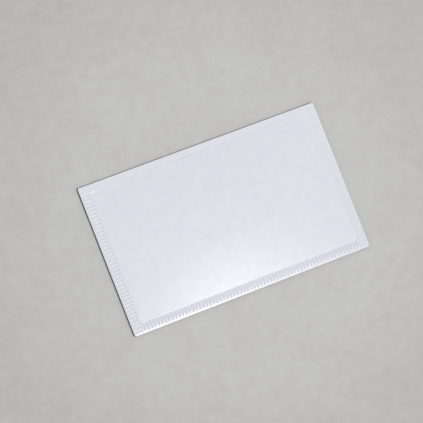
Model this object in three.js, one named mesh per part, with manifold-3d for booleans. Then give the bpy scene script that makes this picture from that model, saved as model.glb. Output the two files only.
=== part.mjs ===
// Magnetic document pocket. A white vinyl back is laminated to a flexible magnetic sheet, and a
// clear film is welded to its front along the left, bottom and right edges, so that a card
// slides in from the top. All sizes are in millimetres. The pocket lies on its magnetic back:
// +X runs along the long edge, +Y towards the open mouth and +Z out of the clear front, with
// the origin in the middle of the lowest face.

import * as THREE from 'three';
import { mergeGeometries, mergeVertices } from 'three/addons/utils/BufferGeometryUtils.js';
import Module from 'manifold-3d';

const wasm = await Module();
wasm.setup();

// Outline that all three layers are cut to
const pocketLength = 100;
const pocketHeight = 60;
const cornerRadius = 0.6;

// Thickness of each layer
const magnetThickness = 0.8;
const backThickness = 0.3;
const filmThickness = 0.2;

// Mouth: the film stops short of the back's top edge and stands off it a little
const mouthSetback = 2.8;
const mouthGap = 0.1;

// Weld: a ribbed band that runs round three edges, inside a plain margin
const weldMargin = 0.8;
const weldWidth = 3.15;

// Grooves that the toothed welding bar presses across the band
const groovePitch = 1.43;
const grooveWidth = 0.78;
const grooveDepth = 0.12;
const grooveFloorRatio = 0.6;

// Window: the free film inside the weld, which stands up in a shallow pillow. It is arched from
// side to side, and climbs from the weld and falls towards the mouth over a shoulder.
const windowRise = 1;
const shoulderWidth = 21;
const shoulderPower = 1.5;
const windowColumns = 24;
const windowRows = 20;

// Places that follow from the sizes above
const halfLength = pocketLength / 2;
const halfHeight = pocketHeight / 2;
const filmTopEdge = halfHeight - mouthSetback;
const weldInset = weldMargin + weldWidth;
const windowSide = halfLength - weldInset;
const windowBottom = weldInset - halfHeight;

// Finishes
const magnetFinish = new THREE.MeshStandardMaterial({ color: 0x2b2927, roughness: 0.8, metalness: 0 });
const backFinish = new THREE.MeshStandardMaterial({ color: 0xe4e4e7, roughness: 0.45, metalness: 0 });
const filmFinish = new THREE.MeshStandardMaterial({ color: 0xdfe3ec, roughness: 0.35, metalness: 0 });

// Closed geometry to a solid that can be cut, and back
function solidOf(geometry) {
  const bare = geometry.clone();
  bare.deleteAttribute('normal');
  bare.deleteAttribute('uv');
  const joined = mergeVertices(bare);
  const vertProperties = new Float32Array(joined.attributes.position.array);
  const triVerts = new Uint32Array(joined.index.array);
  return new wasm.Manifold(new wasm.Mesh({ numProp: 3, vertProperties, triVerts }));
}

function geometryOf(solid) {
  const cut = solid.getMesh();
  const geometry = new THREE.BufferGeometry();
  geometry.setAttribute('position', new THREE.BufferAttribute(cut.vertProperties, 3));
  geometry.setIndex(new THREE.BufferAttribute(cut.triVerts, 1));
  geometry.computeVertexNormals();
  return geometry;
}

// Plate with the pocket's outline, rounded at its four corners, from z = 0 up
function outlinePlate(thickness) {
  const x = halfLength - cornerRadius;
  const y = halfHeight - cornerRadius;
  const outline = new THREE.Shape();
  outline.absarc(x, y, cornerRadius, 0, Math.PI / 2);
  outline.absarc(-x, y, cornerRadius, Math.PI / 2, Math.PI);
  outline.absarc(-x, -y, cornerRadius, Math.PI, 1.5 * Math.PI);
  outline.absarc(x, -y, cornerRadius, 1.5 * Math.PI, 2 * Math.PI);
  return new THREE.ExtrudeGeometry(outline, { depth: thickness, bevelEnabled: false, curveSegments: 6 });
}

// Share of the full rise at a distance inside the weld or the mouth
function shoulder(distance) {
  const share = THREE.MathUtils.clamp(distance / shoulderWidth, 0, 1);
  return 1 - (1 - share) ** shoulderPower;
}

// Height of the film over the back: none on the weld, less at the mouth, most in the middle
function filmRise(x, y) {
  const arch = Math.max(1 - (x / windowSide) ** 2, 0);
  const atMouth = mouthGap + (windowRise - mouthGap) * shoulder(filmTopEdge - y);
  return arch * shoulder(y - windowBottom) * atMouth;
}

// Evenly spaced grid lines, both ends included
function gridLines(from, to, steps) {
  return Array.from({ length: steps + 1 }, (_, i) => THREE.MathUtils.lerp(from, to, i / steps));
}

// Film before its grooves: laid on larger than the back, raised over the window, and trimmed
function pillowedFilm() {
  const reachX = halfLength + weldMargin;
  const columns = [-reachX, ...gridLines(-windowSide, windowSide, windowColumns), reachX];
  const rows = [-halfHeight - weldMargin, ...gridLines(windowBottom, filmTopEdge, windowRows)];
  const lastColumn = columns.length - 1;
  const lastRow = rows.length - 1;
  const sheet = new THREE.BoxGeometry(1, 1, filmThickness, lastColumn, lastRow, 1);
  const position = sheet.attributes.position;
  for (let i = 0; i < position.count; i += 1) {
    const x = columns[Math.round((position.getX(i) + 0.5) * lastColumn)];
    const y = rows[Math.round((position.getY(i) + 0.5) * lastRow)];
    position.setXYZ(i, x, y, position.getZ(i) + filmThickness / 2 + filmRise(x, y));
  }
  const reachZ = filmThickness + windowRise;
  const trim = outlinePlate(3 * reachZ).translate(0, 0, -reachZ);
  return solidOf(sheet).intersect(solidOf(trim));
}

// One groove's cutter: narrower at its floor, and centred on the film's upper face
function grooveCutter(x, y, angle) {
  const cutter = new THREE.CylinderGeometry(2 - grooveFloorRatio, grooveFloorRatio, 2 * grooveDepth, 4);
  cutter.rotateY(Math.PI / 4);
  cutter.rotateX(Math.PI / 2);
  cutter.scale(weldWidth / Math.SQRT2, grooveWidth / Math.SQRT2, 1);
  cutter.rotateZ(angle);
  return cutter.translate(x, y, filmThickness);
}

// Places of the grooves along a band, at the bar's pitch and centred on it
function groovePlaces(from, to) {
  const count = Math.floor((to - from) / groovePitch);
  const first = (from + to - (count - 1) * groovePitch) / 2;
  return Array.from({ length: count }, (_, i) => first + i * groovePitch);
}

// All the grooves: the side bands run past the corners, and the bottom band lies between them
function weldGrooves() {
  const sideCentre = windowSide + weldWidth / 2;
  const bottomCentre = windowBottom - weldWidth / 2;
  const cutters = [];
  for (const y of groovePlaces(weldMargin - halfHeight, filmTopEdge)) {
    cutters.push(grooveCutter(-sideCentre, y, 0), grooveCutter(sideCentre, y, 0));
  }
  for (const x of groovePlaces(-windowSide, windowSide)) {
    cutters.push(grooveCutter(x, bottomCentre, Math.PI / 2));
  }
  return solidOf(mergeGeometries(cutters));
}

// Magnetic sheet, which lies on the surface
function magnetSheet() {
  const mesh = new THREE.Mesh(outlinePlate(magnetThickness), magnetFinish);
  mesh.name = 'magnet_sheet';
  return mesh;
}

// White back, laminated on the magnetic sheet
function backSheet() {
  const mesh = new THREE.Mesh(outlinePlate(backThickness), backFinish);
  mesh.name = 'back_sheet';
  mesh.position.z = magnetThickness;
  return mesh;
}

// Clear front film, welded on the white back
function frontFilm() {
  const film = pillowedFilm().subtract(weldGrooves());
  const mesh = new THREE.Mesh(geometryOf(film), filmFinish);
  mesh.name = 'front_film';
  mesh.position.z = magnetThickness + backThickness;
  return mesh;
}

const pocket = new THREE.Group();
pocket.add(magnetSheet(), backSheet(), frontFilm());

export default pocket;
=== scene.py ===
import math
import bpy
import numpy as np
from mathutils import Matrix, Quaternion, Vector


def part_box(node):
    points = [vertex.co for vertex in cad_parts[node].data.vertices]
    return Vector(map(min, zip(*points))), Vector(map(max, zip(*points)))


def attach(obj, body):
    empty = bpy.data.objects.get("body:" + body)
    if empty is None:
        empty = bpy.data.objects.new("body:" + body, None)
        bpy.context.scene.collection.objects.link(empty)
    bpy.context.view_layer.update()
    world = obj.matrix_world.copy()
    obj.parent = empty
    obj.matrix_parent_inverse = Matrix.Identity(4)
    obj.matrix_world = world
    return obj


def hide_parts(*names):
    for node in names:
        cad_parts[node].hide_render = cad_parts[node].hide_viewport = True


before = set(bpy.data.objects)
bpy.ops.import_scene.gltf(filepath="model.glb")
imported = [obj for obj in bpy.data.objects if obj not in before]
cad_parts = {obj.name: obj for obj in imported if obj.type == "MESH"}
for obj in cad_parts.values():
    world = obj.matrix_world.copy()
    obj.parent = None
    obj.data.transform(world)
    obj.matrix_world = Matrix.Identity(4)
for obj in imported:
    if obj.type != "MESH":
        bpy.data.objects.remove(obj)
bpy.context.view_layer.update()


# Magnetic sheet: flexible rubber filled with ferrite powder, rolled to one thickness and die cut
# together with the layers above it. It lies on the surface and carries the pocket.
MM = 0.001
CORNER_RADIUS = 0.6 * MM
CORNER_STEPS = 8
EDGE_STEPS = 4
RIM_WIDTH = 0.2 * MM
SHARP_ANGLE = math.radians(40)
MAGNET_EDGE_ROUND = 0.06 * MM
MAGNET_COLOUR = (0.040, 0.036, 0.034, 1)
MAGNET_LIGHT_COLOUR = (0.062, 0.056, 0.052, 1)
MAGNET_ROUGHNESS = 0.7
MAGNET_GLOSS = 0.35
MAGNET_GRAIN_SIZE = 0.25 * MM
MAGNET_GRAIN_SHARE = 0.5
MAGNET_RELIEF_DEPTH = 0.03 * MM
MAGNET_RELIEF_STRENGTH = 0.4
ROLLING_LINE_SPACING = 0.8 * MM
ROLLING_LINE_STRETCH = (0.02, 1, 0.02)

magnet_low, magnet_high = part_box("magnet_sheet")


class Wire:
    """A shader socket that arithmetic works on: each sum on values adds its Math node."""

    def __init__(self, tree, socket):
        self.tree = tree
        self.socket = socket

    @classmethod
    def of(cls, tree, kind, settings=None, inputs=None, output=0):
        """Any node, by its type, its settings, and the values or wires of its sockets."""
        node = tree.nodes.new(kind)
        for name, value in (settings or {}).items():
            setattr(node, name, value)
        for name, value in (inputs or {}).items():
            if isinstance(value, Wire):
                tree.links.new(value.socket, node.inputs[name])
            else:
                node.inputs[name].default_value = value
        return cls(tree, node.outputs[output])

    def worked(self, operation, *operands):
        """The result of one Math node."""
        return Wire.of(self.tree, "ShaderNodeMath", {"operation": operation}, dict(enumerate(operands)))

    def __add__(self, other):
        return self.worked("ADD", self, other)

    __radd__ = __add__

    def __mul__(self, other):
        return self.worked("MULTIPLY", self, other)

    __rmul__ = __mul__

    def __sub__(self, other):
        return self.worked("SUBTRACT", self, other)

    def __rsub__(self, other):
        return self.worked("SUBTRACT", other, self)

    def __abs__(self):
        return self.worked("ABSOLUTE", self)

    def cosine(self):
        return self.worked("COSINE", self)

    def larger(self, other):
        return self.worked("MAXIMUM", self, other)

    def share(self, low, high):
        """0 below low, 1 above high, and evenly between."""
        return Wire.of(self.tree, "ShaderNodeMapRange", {}, {0: self, 1: low, 2: high})

    def feed(self, shader, socket):
        """Links this wire to a socket of the shader."""
        self.tree.links.new(self.socket, shader.inputs[socket])


def new_finish(name, **fixed):
    """A material with one Principled shader, that shader, and the places on the object."""
    material = bpy.data.materials.new(name)
    material.use_nodes = True
    tree = material.node_tree
    shader = next(n for n in tree.nodes if n.type == "BSDF_PRINCIPLED")
    for socket, value in fixed.items():
        shader.inputs[socket.replace("_", " ")].default_value = value
    return material, shader, Wire.of(tree, "ShaderNodeTexCoord", output="Object")


def noise(place, size, detail=2.0, stretch=(1, 1, 1)):
    """Noise from 0 to 1 with features of about one size, in metres, longer where stretch is small."""
    scaled = Wire.of(place.tree, "ShaderNodeVectorMath", {"operation": "MULTIPLY"}, {0: place, 1: stretch})
    inputs = {"Vector": scaled, "Scale": 1 / size, "Detail": detail}
    return Wire.of(place.tree, "ShaderNodeTexNoise", {}, inputs)


def blend(share, first, second):
    """A colour between two others."""
    return Wire.of(share.tree, "ShaderNodeMix", {"data_type": "RGBA"}, {0: share, 6: first, 7: second}, 2)


def bump(height, depth, strength):
    """A normal that follows a relief, whose height from 0 to 1 stands for a depth in metres."""
    inputs = {"Strength": strength, "Distance": depth, "Height": height}
    return Wire.of(height.tree, "ShaderNodeBump", {}, inputs)


def new_piece(name, points, faces):
    """A smooth-shaded object from points and faces, linked to the scene."""
    mesh = bpy.data.meshes.new(name)
    mesh.from_pydata(points, [], faces)
    mesh.validate()
    mesh.shade_smooth()
    mesh.set_sharp_from_angle(angle=SHARP_ANGLE)
    piece = bpy.data.objects.new(name, mesh)
    bpy.context.scene.collection.objects.link(piece)
    return piece


def outline_ring(inset, height):
    """Points round the pocket's outline, moved in by inset, at one height."""
    radius = max(CORNER_RADIUS - inset, 0.0)
    ring = []
    for quarter in range(4):
        side_x = 1 if quarter in (0, 3) else -1
        side_y = 1 if quarter in (0, 1) else -1
        centre_x = side_x * (magnet_high.x - inset - radius)
        centre_y = side_y * (magnet_high.y - inset - radius)
        for step in range(CORNER_STEPS + 1):
            angle = (quarter + step / CORNER_STEPS) * math.pi / 2
            ring.append((centre_x + radius * math.cos(angle), centre_y + radius * math.sin(angle), height))
    return ring


def plate(name, bottom, top, edge_round):
    """A die-cut layer between two heights, with its long edges slightly rounded."""
    arcs = [math.pi / 2 * step / EDGE_STEPS for step in range(EDGE_STEPS + 1)]
    profile = [(RIM_WIDTH, bottom)]
    profile += [(edge_round * (1 - math.sin(a)), bottom + edge_round * (1 - math.cos(a))) for a in arcs]
    profile += [(edge_round * (1 - math.cos(a)), top - edge_round * (1 - math.sin(a))) for a in arcs]
    profile += [(RIM_WIDTH, top)]
    rings = [outline_ring(inset, height) for inset, height in profile]
    count = len(rings[0])
    points = [point for ring in rings for point in ring]
    faces = [tuple(reversed(range(count)))]
    for level in range(len(rings) - 1):
        for i in range(count):
            here, there = level * count + i, level * count + (i + 1) % count
            faces.append((here, there, there + count, here + count))
    faces.append(tuple(range(len(points) - count, len(points))))
    return new_piece(name, points, faces)


magnet_finish, shader, place = new_finish(
    "magnetic rubber", Roughness=MAGNET_ROUGHNESS, Specular_IOR_Level=MAGNET_GLOSS
)
grain = noise(place, MAGNET_GRAIN_SIZE, detail=3)
rolling = noise(place, ROLLING_LINE_SPACING, detail=1, stretch=ROLLING_LINE_STRETCH)
blend(grain, MAGNET_COLOUR, MAGNET_LIGHT_COLOUR).feed(shader, "Base Color")
relief = grain * MAGNET_GRAIN_SHARE + rolling
bump(relief, MAGNET_RELIEF_DEPTH, MAGNET_RELIEF_STRENGTH).feed(shader, "Normal")

magnet = plate("magnetic_rubber_sheet", magnet_low.z, magnet_high.z, MAGNET_EDGE_ROUND)
magnet.data.materials.append(magnet_finish)
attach(magnet, "root")
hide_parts("magnet_sheet")


# White back: an opaque white vinyl sheet with a satin face, laminated on the magnetic sheet and
# cut with it. Its bare strip shows above the film at the mouth.
BACK_EDGE_ROUND = 0.08 * MM
BACK_COLOUR = (0.714, 0.714, 0.757, 1)
BACK_LIGHT_COLOUR = (0.734, 0.734, 0.775, 1)
BACK_ROUGHNESS = 0.5
BACK_GLOSS = 0.2
BACK_MOTTLE_SIZE = 6 * MM
BACK_GRAIN_SIZE = 0.35 * MM
BACK_RELIEF_DEPTH = 0.02 * MM
BACK_RELIEF_STRENGTH = 0.15

back_low, back_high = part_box("back_sheet")

back_finish, shader, place = new_finish(
    "white vinyl", Roughness=BACK_ROUGHNESS, Specular_IOR_Level=BACK_GLOSS
)
mottle = noise(place, BACK_MOTTLE_SIZE)
blend(mottle, BACK_COLOUR, BACK_LIGHT_COLOUR).feed(shader, "Base Color")
relief = noise(place, BACK_GRAIN_SIZE)
bump(relief, BACK_RELIEF_DEPTH, BACK_RELIEF_STRENGTH).feed(shader, "Normal")

back = plate("white_vinyl_back", back_low.z, back_high.z, BACK_EDGE_ROUND)
back.data.materials.append(back_finish)
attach(back, "root")
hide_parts("back_sheet")


# Clear front film: soft vinyl, laid on the back and welded to it round three edges by a toothed
# bar, which leaves the ribs. Inside the weld it stands up in a shallow pillow, and along the
# top it is free, so that a card slides in.
FILM_THICKNESS = 0.20 * MM
FILM_SEAT = 0.01 * MM
WELD_MARGIN = 0.8 * MM
WELD_WIDTH = 3.15 * MM
RIB_PITCH = 1.43 * MM

film_low, film_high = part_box("front_film")
half_length = film_high.x
bottom_edge = film_low.y
mouth_edge = film_high.y
film_rise = film_high.z - film_low.z - FILM_THICKNESS
weld_inset = WELD_MARGIN + WELD_WIDTH
window_side = half_length - weld_inset
window_bottom = bottom_edge + weld_inset
side_run = mouth_edge - bottom_edge - WELD_MARGIN
ribs_up = round(side_run / RIB_PITCH)
ribs_across = round(2 * window_side / RIB_PITCH)

# Pillow of the free film, and the small lip that it has along the mouth
MOUTH_GAP = 0.1 * MM
SHOULDER_WIDTH = 21.0 * MM
SHOULDER_POWER = 1.5
LIP_WIDTH = 0.8 * MM
LIP_HEIGHT = 0.06 * MM
LIP_END_HEIGHT = 0.13 * MM
LIP_END_REACH = 9 * MM


def shoulder(distance):
    """Share of the full rise at a distance inside the weld or the mouth."""
    return 1 - (1 - np.clip(distance / SHOULDER_WIDTH, 0, 1)) ** SHOULDER_POWER


def pillow(x, y):
    """Height of the free film over the back: arched from side to side, and less at the mouth.

    Along the mouth the film's cut edge turns up a little, and most at its two welded corners.
    """
    arch = np.clip(1 - (x / window_side) ** 2, 0, 1)
    at_mouth = MOUTH_GAP + (film_rise - MOUTH_GAP) * shoulder(mouth_edge - y)
    into_lip = np.clip(1 - (mouth_edge - y) / LIP_WIDTH, 0, 1)
    near_end = np.clip(1 - (window_side - np.abs(x)) / LIP_END_REACH, 0, 1)
    lip = (LIP_HEIGHT + (LIP_END_HEIGHT - LIP_HEIGHT) * near_end ** 2) * into_lip ** 2
    return arch * shoulder(y - window_bottom) * at_mouth + lip


# Squeezed margin and ribs of the weld. Each press row holds the bar's strength at even steps
# along the weld: upwards at the sides, and from left to right at the foot.
EDGE_SLOPE = 0.098
EDGE_SLOPE_START = 2.1 * MM
EDGE_SLOPE_FULL = 1.5 * MM
GROOVE_DEPTH = 0.105 * MM
GROOVE_SPREAD = (0.85, 1.1)
GROOVE_FLAT = 0.12
SIDE_GROOVE_END = 0.25
FOOT_GROOVE_END = 0.07
LEFT_PRESS = (1.5, 1.5, 1.45, 1.25)
RIGHT_PRESS = (0.9, 0.6, 0.2, 0.3)
FOOT_PRESS = (1.3, 0.95, 1.5, 1.5, 0.5, 0.8)
LEFT_SEED = 1
RIGHT_SEED = 2
FOOT_SEED = 3


def edge_fall(from_edge):
    """How far the squeezed margin lies below the film, at a distance from the cut edge."""
    bend = EDGE_SLOPE_START - EDGE_SLOPE_FULL
    into_bend = np.clip(EDGE_SLOPE_START - from_edge, 0, bend)
    straight = np.clip(EDGE_SLOPE_FULL - from_edge, 0, EDGE_SLOPE_FULL)
    return EDGE_SLOPE * (into_bend ** 2 / (2 * bend) + straight)


def groove(from_edge, along, count, end, press, seed):
    """Depth of a ribbed weld's grooves, whose floors are flat where the film falls to its edge.

    Each groove has its own depth, and runs out in a ramp over the share end of the weld's width.
    """
    across = (from_edge - WELD_MARGIN) / WELD_WIDTH
    inside = (across > 0) & (across < 1) & (along > 0) & (along < 1)
    pressed = np.random.default_rng(seed).uniform(*GROOVE_SPREAD, count)
    pressed *= np.interp(np.linspace(0, 1, count), np.linspace(0, 1, len(press)), press)
    tooth = np.clip((along * count).astype(int), 0, count - 1)
    swing = 0.5 - 0.5 * np.cos(2 * math.pi * along * count)
    ramp = np.clip((swing - GROOVE_FLAT) / (1 - 2 * GROOVE_FLAT), 0, 1)
    wave = ramp * ramp * (3 - 2 * ramp)
    inner_end = np.clip((1 - across) / end, 0, 1)
    floor_depth = np.maximum(GROOVE_DEPTH * pressed[tooth] - edge_fall(from_edge), 0)
    return np.where(inside, floor_depth * wave * inner_end, 0.0)


def film_top(x, y):
    """Height of the film's upper face over the back's face."""
    from_bottom = y - bottom_edge
    fall = edge_fall(np.minimum(half_length - np.abs(x), from_bottom))
    up = (from_bottom - WELD_MARGIN) / side_run
    along = (x + window_side) / (2 * window_side)
    left = groove(half_length + x, up, ribs_up, SIDE_GROOVE_END, LEFT_PRESS, LEFT_SEED)
    right = groove(half_length - x, up, ribs_up, SIDE_GROOVE_END, RIGHT_PRESS, RIGHT_SEED)
    foot = groove(from_bottom, along, ribs_across, FOOT_GROOVE_END, FOOT_PRESS, FOOT_SEED)
    return FILM_THICKNESS - fall - left - right - foot + pillow(x, y)


# Lattice that the film's mesh stands on: fine over the ribs and coarse over the smooth window
STEPS_PER_RIB = 10
BAND_STEPS = 14
MARGIN_STEPS = 6
WINDOW_EDGE_STEPS = (1, 1, 1, 2, 2, 3, 5)


def lines(start, end, steps):
    """Even places from start up to the one before end."""
    return [start + (end - start) * step / steps for step in range(steps)]


def film_lattice():
    """The lattice's lines, from the left edge to the right one and from the bottom to the mouth."""
    fine_x = STEPS_PER_RIB * ribs_across
    fine_y = round((mouth_edge - window_bottom) / RIB_PITCH * STEPS_PER_RIB)
    left = lines(-half_length, WELD_MARGIN - half_length, MARGIN_STEPS)
    left += lines(WELD_MARGIN - half_length, -window_side, BAND_STEPS)
    x_lines = left + lines(-window_side, window_side, fine_x) + [window_side]
    x_lines += [-x for x in reversed(left)]
    y_lines = lines(bottom_edge, bottom_edge + WELD_MARGIN, MARGIN_STEPS)
    y_lines += lines(bottom_edge + WELD_MARGIN, window_bottom, BAND_STEPS)
    y_lines += lines(window_bottom, mouth_edge, fine_y) + [mouth_edge]
    return x_lines, y_lines


def spaced(first, last):
    """Line numbers across the window: short steps at both ends, and a rib's width between."""
    numbers = [first]
    tail = [last]
    for step in WINDOW_EDGE_STEPS:
        numbers.append(numbers[-1] + step)
        tail.append(tail[-1] - step)
    numbers += list(range(numbers[-1] + STEPS_PER_RIB, tail[-1], STEPS_PER_RIB))
    return numbers + tail[::-1]


def film_cells(last_x, last_y):
    """Cells of the lattice, as (first column, last column, first row, last row)."""
    margin, inner = MARGIN_STEPS, MARGIN_STEPS + BAND_STEPS
    window_columns = spaced(inner, last_x - inner)
    window_rows = spaced(inner, last_y)
    edges = list(range(margin + 1))
    far_edges = [last_x - v for v in reversed(edges)]
    band = list(range(margin, inner + 1))
    far_band = [last_x - v for v in reversed(band)]
    fine_rows = list(range(margin, last_y + 1))
    fine_columns = list(range(inner, last_x - inner + 1))
    whole_band = [margin, inner]
    blocks = [
        (window_columns, window_rows),
        (band, fine_rows),
        (far_band, fine_rows),
        (fine_columns, band),
        (edges, edges),
        (far_edges, edges),
        (edges, whole_band + window_rows[1:]),
        (far_edges, whole_band + window_rows[1:]),
        (whole_band, edges),
        ([last_x - inner, last_x - margin], edges),
        (window_columns, edges),
    ]
    for columns, rows in blocks:
        for left, right in zip(columns, columns[1:]):
            for low, high in zip(rows, rows[1:]):
                yield left, right, low, high


def rounded(x, y):
    """Moves lattice points near the two bottom corners, so that the square corner turns round."""
    across = (np.abs(x) - (half_length - CORNER_RADIUS)) / CORNER_RADIUS
    down = (bottom_edge + CORNER_RADIUS - y) / CORNER_RADIUS
    corner = (across > 0) & (down > 0)
    reach = np.maximum(across, down)
    angle = np.arctan2(down, across)
    round_x = np.sign(x) * (half_length - CORNER_RADIUS + CORNER_RADIUS * reach * np.cos(angle))
    round_y = bottom_edge + CORNER_RADIUS - CORNER_RADIUS * reach * np.sin(angle)
    return np.where(corner, round_x, x), np.where(corner, round_y, y)


def film_mesh():
    """The film as one closed skin: upper face, lower face and the cut edge between them."""
    x_lines, y_lines = film_lattice()
    last_x, last_y = len(x_lines) - 1, len(y_lines) - 1
    cells = list(film_cells(last_x, last_y))
    used = {(i, j) for left, right, low, high in cells for i in (left, right) for j in (low, high)}
    number = {key: n for n, key in enumerate(sorted(used))}
    keys = np.array(sorted(used))
    square_x, square_y = np.array(x_lines)[keys[:, 0]], np.array(y_lines)[keys[:, 1]]
    x, y = rounded(square_x, square_y)
    seat = film_low.z + FILM_SEAT
    upper = np.column_stack([x, y, film_low.z + film_top(square_x, square_y)])
    lower = np.column_stack([x, y, seat + pillow(square_x, square_y)])
    total = len(keys)

    def round_cell(left, right, low, high):
        """Numbers of the used points round a cell, with those of its finer neighbours."""
        path = [(i, low) for i in range(left, right)] + [(right, j) for j in range(low, high)]
        path += [(i, high) for i in range(right, left, -1)] + [(left, j) for j in range(high, low, -1)]
        return [number[key] for key in path if key in number]

    faces = []
    for cell in cells:
        loop = round_cell(*cell)
        faces.append(loop)
        faces.append([n + total for n in reversed(loop)])
    rim = round_cell(0, last_x, 0, last_y)
    for here, there in zip(rim, rim[1:] + rim[:1]):
        faces.append([there, here, here + total, there + total])
    return np.vstack([upper, lower]).tolist(), faces


# Film finish: both faces let half of the light through, and more where the teeth have fused them. The side
# bands carry painted shade, darker towards the lower left; the foot's band takes its fused tone with
# painted shade under each tooth, and is darker towards its two ends.
FILM_COLOUR = (0.909, 0.931, 0.984, 1)
FILM_LIGHT_COLOUR = (0.979, 1.0, 1.0, 1)
CLOUD_SIZE = 3 * MM
SPECK_SIZE = 0.8 * MM
CLOUD_SHARE = 0.6
CLOUD_RANGE = (0.3, 0.7)
FILM_ALPHA = 0.5
FILM_ROUGHNESS = 0.297
FILM_GLOSS = 0.505
FILM_GLOSS_TINT = (1.0, 0.96, 0.94, 1)
FILM_GRAIN_SIZE = 0.7 * MM
FILM_RELIEF_DEPTH = 0.06 * MM
FILM_RELIEF_STRENGTH = 0.45
CUT_EDGE_CLEARNESS = 0.75
CUT_EDGE_WIDTH = 0.2 * MM
# Lit and shaded copies of the side bands' tone: painted shade that darkens them towards the lower left
SHADED_BAND_COLOUR = (0.899, 0.912, 0.953, 1)
LIT_BAND_COLOUR = (0.968, 0.977, 1.0, 1)
BAND_SHADE_FADE = 85 * MM
# Foot band: its fused tone, with painted shade in the groove floors under the teeth; the dark colour also
# darkens the foot's two ends
FOOT_DARK_COLOUR = (0.67, 0.68, 0.75, 1)
FOOT_LIGHT_COLOUR = (0.95, 0.96, 1.0, 1)
RIDGE_SHARE = 0.54
SIDE_WELD_ALPHA = 0.3
FOOT_WELD_ALPHA = 0.12
WELD_ROUGHNESS = 0.25
WELD_BLUR = 0.25 * MM
SIDE_INNER_BLUR = 0.08 * MM
WELD_WANDER = 0.5 * MM
WANDER_SIZE = 1.7 * MM
SIDE_RIB_REACH = 3.1 * MM
FOOT_RIB_REACH = 1.6 * MM


def ridges(along, count):
    """1 between two teeth and 0 under a tooth."""
    turn = along * (2 * math.pi * count)
    return 0.5 + 0.5 * turn.cosine()


def fused(from_edge, ridge, wander, rib_reach, inner_blur):
    """Share of the film that the bar's teeth have fused clear, from 0 to 1."""
    start = WELD_MARGIN - WELD_BLUR + rib_reach * ridge * ridge + WELD_WANDER * (wander - 0.5)
    return (from_edge - start).share(0, WELD_BLUR) * (weld_inset - from_edge).share(0, inner_blur)


film_finish, shader, place = new_finish(
    "clear satin film", Specular_IOR_Level=FILM_GLOSS, Specular_Tint=FILM_GLOSS_TINT
)
across_x = Wire.of(place.tree, "ShaderNodeSeparateXYZ", {}, {0: place}, "X")
across_y = Wire.of(place.tree, "ShaderNodeSeparateXYZ", {}, {0: place}, "Y")
from_side = half_length - abs(across_x)
from_bottom = across_y - bottom_edge
wander = noise(place, WANDER_SIZE, detail=1)

side_ridges = ridges((from_bottom - WELD_MARGIN) * (1 / side_run), ribs_up)
side_fused = fused(from_side, side_ridges, wander, SIDE_RIB_REACH, SIDE_INNER_BLUR)
foot_ridges = ridges((across_x + window_side) * (1 / (2 * window_side)), ribs_across)
between_sides = (from_side - weld_inset).share(-WELD_BLUR, 0)
foot_fused = fused(from_bottom, foot_ridges, wander, FOOT_RIB_REACH, WELD_BLUR) * between_sides

cloud = noise(place, CLOUD_SIZE, detail=3) * CLOUD_SHARE + noise(place, SPECK_SIZE) * (1 - CLOUD_SHARE)
film_tint = blend(cloud.share(*CLOUD_RANGE), FILM_COLOUR, FILM_LIGHT_COLOUR)
# Painted shade: the side bands' colour fades from lit at the upper right to shaded at the lower left
band_lit_share = (across_x + across_y * 2).share(-BAND_SHADE_FADE, BAND_SHADE_FADE)
shaded_side_band = blend(band_lit_share, SHADED_BAND_COLOUR, LIT_BAND_COLOUR)
side_tint = blend((weld_inset - from_side).share(0, WELD_BLUR), film_tint, shaded_side_band)
# Painted shade in the foot's grooves: darker under each tooth, and darker towards both ends of the foot
foot_groove_and_end_share = foot_ridges * RIDGE_SHARE + from_side * ((1 - RIDGE_SHARE) / half_length)
foot_tone_and_groove_shade = blend(foot_groove_and_end_share, FOOT_DARK_COLOUR, FOOT_LIGHT_COLOUR)
blend(foot_fused, side_tint, foot_tone_and_groove_shade).feed(shader, "Base Color")

side_clearing = side_fused * (SIDE_WELD_ALPHA - FILM_ALPHA)
foot_clearing = foot_fused * (FOOT_WELD_ALPHA - FILM_ALPHA)
at_cut_edge = (across_y - mouth_edge + 2 * CUT_EDGE_WIDTH).share(0, CUT_EDGE_WIDTH)
cover = (FILM_ALPHA + side_clearing + foot_clearing) * (1 - at_cut_edge * CUT_EDGE_CLEARNESS)
cover.feed(shader, "Alpha")
weld_gloss = side_fused.larger(foot_fused) * (WELD_ROUGHNESS - FILM_ROUGHNESS)
(FILM_ROUGHNESS + weld_gloss).feed(shader, "Roughness")
relief = noise(place, FILM_GRAIN_SIZE)
bump(relief, FILM_RELIEF_DEPTH, FILM_RELIEF_STRENGTH).feed(shader, "Normal")

film = new_piece("clear_front_film", *film_mesh())
film.data.materials.append(film_finish)
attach(film, "root")
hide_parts("front_film")


# Studio: a plain warm grey surface with a painted pool of light round the pocket, one soft lamp high over
# the lower right of the pocket, and an even pale surround.
FLOOR_SIZE = 6.0
FLOOR_DROP = 0.02 * MM
FLOOR_COLOUR = (0.495, 0.472, 0.4515, 1)
# The pale end serves both the floor's random mottle and its painted pool of light
FLOOR_PALE_AND_LIT_COLOUR = (0.5825, 0.582, 0.5565, 1)
FLOOR_ROUGHNESS = 0.9
FLOOR_GLOSS = 0.1
FLOOR_MOTTLE = ((18 * MM, 0.3), (4 * MM, 0.4), (0.9 * MM, 0.3))
FLOOR_MOTTLE_RANGE = (0.35, 0.65)
LIGHT_POOL_REACH = 105 * MM
LIGHT_POOL_FADE = 45 * MM
LIGHT_POOL_SHARE = 0.4
SURROUND_COLOUR = (0.93, 0.965, 1.06, 1)
SURROUND_STRENGTH = 0.455
LAMP_PLACE = Vector((0.101, -0.14, 0.5))
LAMP_AIM = Vector((-0.34, 0.6, 0.0))
LAMP_COLOUR = (1.0, 0.985, 0.955)
LAMP_SIZE = 0.08
LAMP_POWER = 2.21

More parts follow.
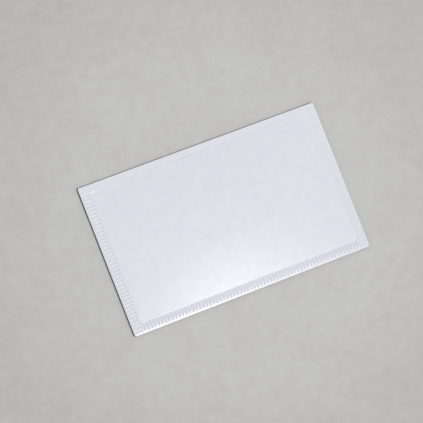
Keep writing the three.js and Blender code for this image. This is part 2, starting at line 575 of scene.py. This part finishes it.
floor_finish, shader, place = new_finish(
    "plain surface", Roughness=FLOOR_ROUGHNESS, Specular_IOR_Level=FLOOR_GLOSS
)
mottle = sum(noise(place, size, detail=3) * share for size, share in FLOOR_MOTTLE)
distance = Wire.of(place.tree, "ShaderNodeVectorMath", {"operation": "LENGTH"}, {0: place}, "Value")
# Painted light: the floor is painted lighter in a pool round the pocket, on top of its mottle
painted_light_pool = (LIGHT_POOL_REACH - distance).share(0, LIGHT_POOL_FADE)
floor_mottle_and_light_pool = mottle.share(*FLOOR_MOTTLE_RANGE) * (1 - LIGHT_POOL_SHARE) + painted_light_pool * LIGHT_POOL_SHARE
blend(floor_mottle_and_light_pool, FLOOR_COLOUR, FLOOR_PALE_AND_LIT_COLOUR).feed(shader, "Base Color")

corners = ((-1, -1), (1, -1), (1, 1), (-1, 1))
floor_points = [(x * FLOOR_SIZE / 2, y * FLOOR_SIZE / 2, 0) for x, y in corners]
floor = new_piece("floor", floor_points, [(0, 1, 2, 3)])
floor.location.z = -FLOOR_DROP
floor.data.materials.append(floor_finish)

world = bpy.data.worlds.new("surround")
bpy.context.scene.world = world
world.use_nodes = True
background = world.node_tree.nodes["Background"]
background.inputs["Color"].default_value = SURROUND_COLOUR
background.inputs["Strength"].default_value = SURROUND_STRENGTH

lamp_data = bpy.data.lights.new("key lamp", "AREA")
lamp_data.shape = "SQUARE"
lamp_data.size = LAMP_SIZE
lamp_data.color = LAMP_COLOUR
lamp_data.energy = LAMP_POWER
lamp = bpy.data.objects.new("key lamp", lamp_data)
bpy.context.scene.collection.objects.link(lamp)
lamp.location = LAMP_PLACE
lamp.rotation_mode = "QUATERNION"
lamp.rotation_quaternion = (LAMP_AIM - LAMP_PLACE).to_track_quat("-Z", "Y")


# Camera: a long lens that looks down on the pocket from its left, rolled so that the long edge
# climbs to the right.
CAMERA_AIM = Vector((-4.23, 4.1, 1.2)) * MM
CAMERA_AZIMUTH = math.radians(-79.29)
CAMERA_ELEVATION = math.radians(73.53)
CAMERA_ROLL = math.radians(58.22)
CAMERA_DISTANCE = 0.9924
LENS_MM = 221.3
SENSOR_WIDTH_MM = 36.0

towards = Vector((
    math.sin(CAMERA_AZIMUTH) * math.cos(CAMERA_ELEVATION),
    -math.cos(CAMERA_AZIMUTH) * math.cos(CAMERA_ELEVATION),
    math.sin(CAMERA_ELEVATION),
))
camera_data = bpy.data.cameras.new("camera")
camera_data.lens = LENS_MM
camera_data.sensor_width = SENSOR_WIDTH_MM
camera = bpy.data.objects.new("camera", camera_data)
bpy.context.scene.collection.objects.link(camera)
camera.location = CAMERA_AIM + towards * CAMERA_DISTANCE
camera.rotation_mode = "QUATERNION"
camera.rotation_quaternion = (-towards).to_track_quat("-Z", "Y") @ Quaternion((0, 0, 1), CAMERA_ROLL)
bpy.context.scene.camera = camera
bpy.context.scene.view_settings.view_transform = "Standard"
